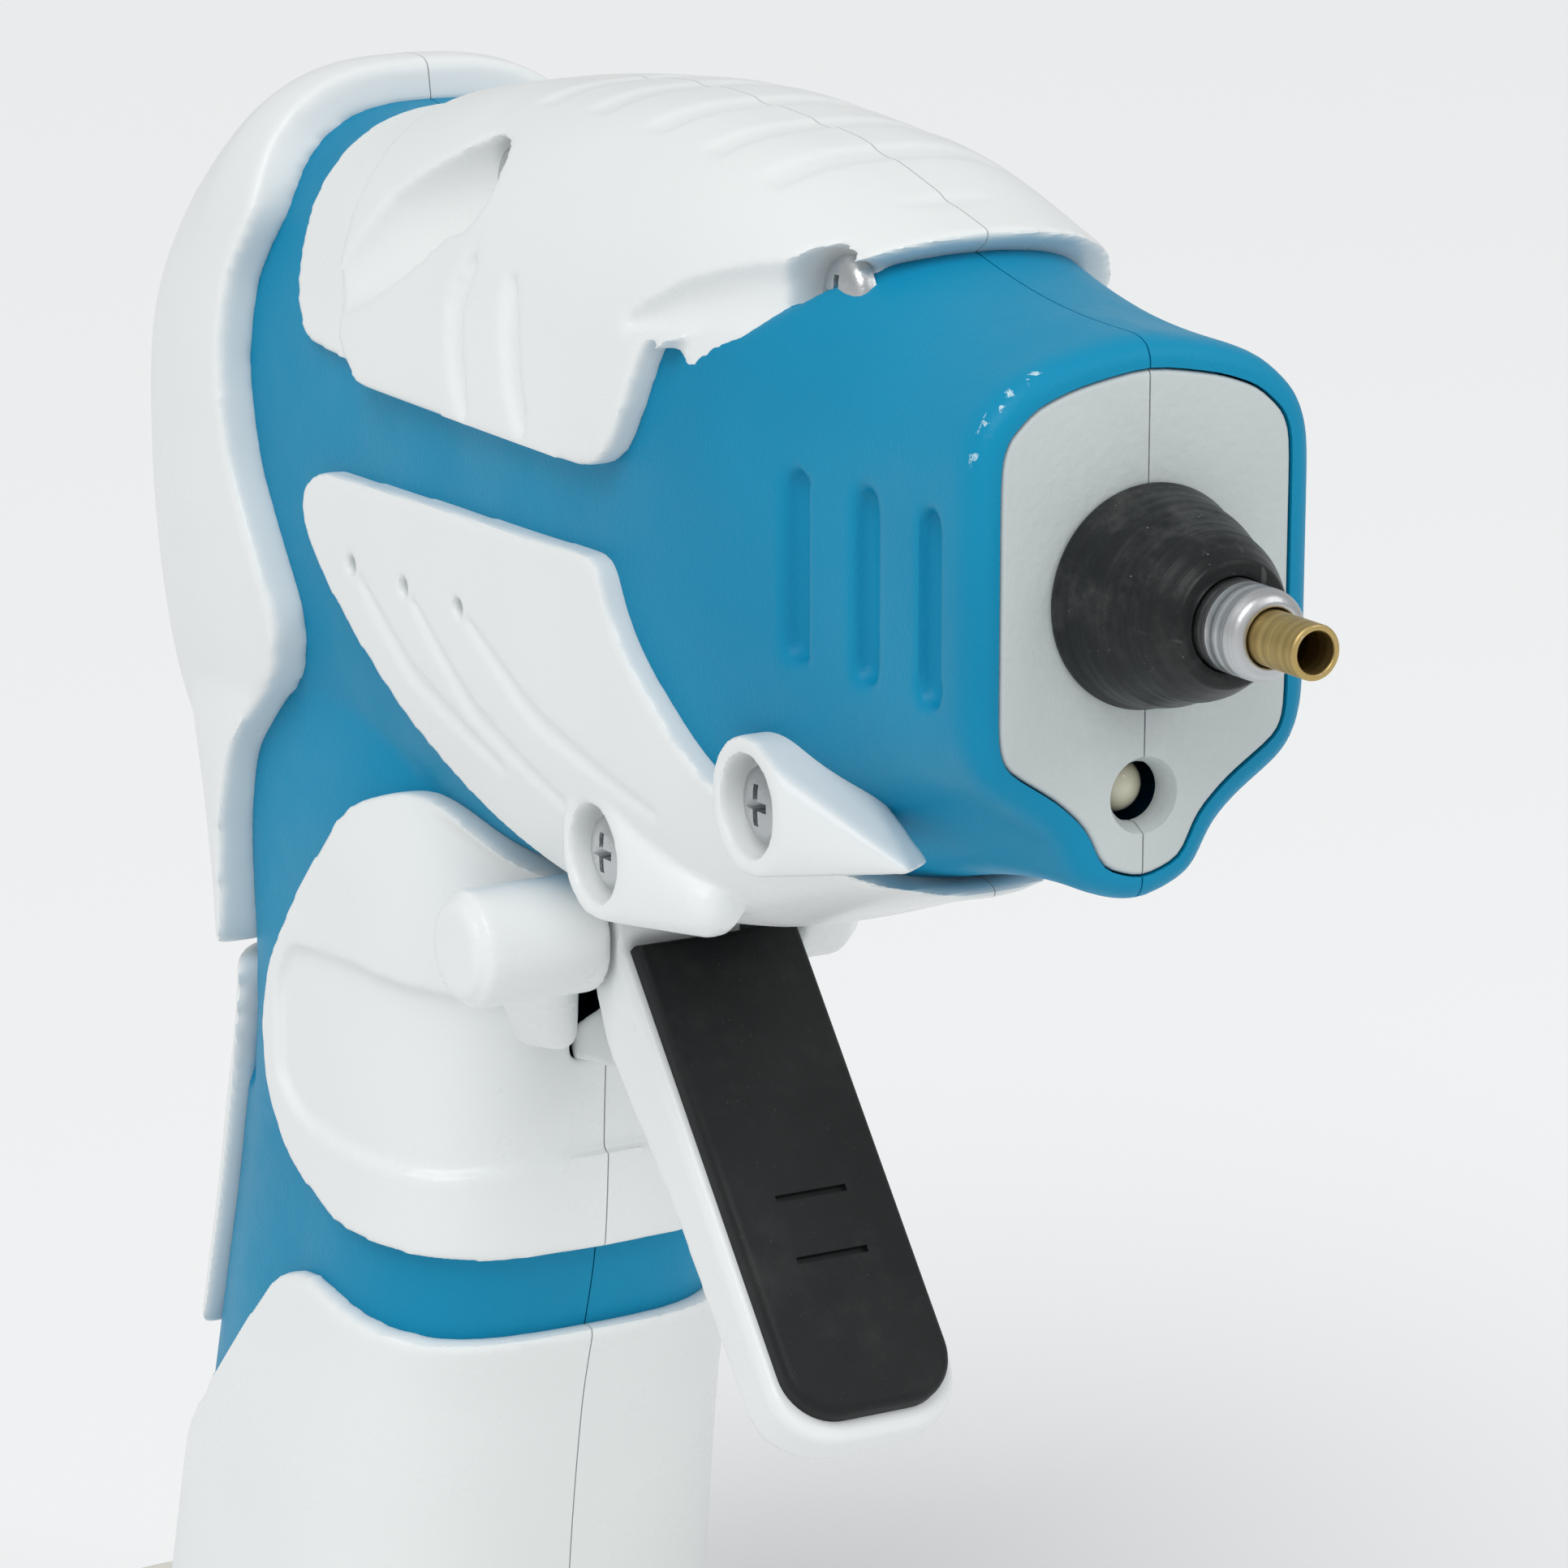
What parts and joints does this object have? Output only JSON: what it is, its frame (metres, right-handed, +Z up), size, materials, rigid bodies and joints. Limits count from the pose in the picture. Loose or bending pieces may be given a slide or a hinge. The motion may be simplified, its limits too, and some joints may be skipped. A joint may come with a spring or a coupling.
{
  "type": "glue gun",
  "caption": "Cordless hot glue gun with a squeeze trigger, ribbed top cover and a flared foot it stands on.",
  "frame": {"origin": "middle of the foot's underside, on the floor", "axes": "+X towards the nozzle, +Y to the gun's left, +Z up"},
  "size_m": [0.1953, 0.054, 0.1822],
  "materials": {
    "blue_shell": "soft matt with fine grain",
    "white_shell": "satin",
    "face_grey": "matt",
    "guard_rubber": "matt",
    "collar_metal": "turned",
    "nozzle_brass": "turned",
    "led_clear": "clear",
    "chamber_metal": "cast",
    "heater_ceramic": "ceramic",
    "shield_steel": "satin",
    "tube_plastic": "matt",
    "carriage_plastic": "matt",
    "pin_steel": "bright",
    "trigger_white": "satin",
    "pad_soft": "soft matt",
    "screw_zinc": "zinc plated",
    "cell_wrap": "film",
    "board_green": "solder mask",
    "button_black": "matt",
    "foot_plastic": "satin",
    "foot_rubber": "matt"
  },
  "bodies": {
    "gun": {"housing_right": "blue_shell", "top_cover_right": "white_shell", "rear_cap_right": "white_shell", "spine_strip_right": "white_shell", "side_panel_right": "white_shell", "grip_panel_right": "white_shell", "handle_sleeve_right": "white_shell", "face_plate_right": "face_grey", "housing_left": "blue_shell", "top_cover_left": "white_shell", "rear_cap_left": "white_shell", "spine_strip_left": "white_shell", "side_panel_left": "white_shell", "grip_panel_left": "white_shell", "handle_sleeve_left": "white_shell", "face_plate_left": "face_grey", "nozzle_guard": "guard_rubber", "nozzle_body": "collar_metal", "nozzle_tip": "nozzle_brass", "led_lens": "led_clear", "melt_chamber": "chamber_metal", "heater_upper": "heater_ceramic", "heater_lower": "heater_ceramic", "heat_shield": "shield_steel", "guide_tube": "tube_plastic", "trigger_pin": "pin_steel", "trigger_spring": "pin_steel", "nose_screw": "screw_zinc", "guard_screw": "screw_zinc", "cover_screw_front": "screw_zinc", "cover_screw_rear": "screw_zinc", "battery_cell": "cell_wrap", "control_board": "board_green", "charge_socket": "shield_steel", "foot_base": "foot_plastic", "foot_plate": "foot_plastic", "foot_screw_1": "screw_zinc", "foot_screw_2": "screw_zinc", "rubber_foot_1": "foot_rubber", "rubber_foot_2": "foot_rubber", "rubber_foot_3": "foot_rubber", "rubber_foot_4": "foot_rubber", "rubber_foot_5": "foot_rubber"},
    "trigger": {"trigger": "trigger_white", "trigger_pad": "pad_soft", "drive_pin": "pin_steel"},
    "carriage": {"feed_carriage": "carriage_plastic", "grip_tooth": "pin_steel"},
    "button": {"power_button": "button_black"}
  },
  "joints": [
    {"name": "trigger_squeeze", "type": "hinge", "parent": "gun", "child": "trigger", "pos_m": [0.046, 0, 0.106], "axis": [0, 1, 0], "range_deg": [0, 28], "stiffness_Nm_per_rad": 0.25, "springref_deg": -17.19},
    {"name": "carriage_feed", "type": "slide", "parent": "gun", "child": "carriage", "axis": [1, 0, 0], "range_m": [0, 0.0128]},
    {"name": "button_press", "type": "slide", "parent": "gun", "child": "button", "axis": [0, 0, -1], "range_m": [0, 0.001], "stiffness_N_per_m": 400, "springref_m": -0.0005}
  ],
  "couplings": [
    {"joint": "carriage_feed", "follows": "trigger_squeeze", "m_per_rad": 0.026}
  ]
}
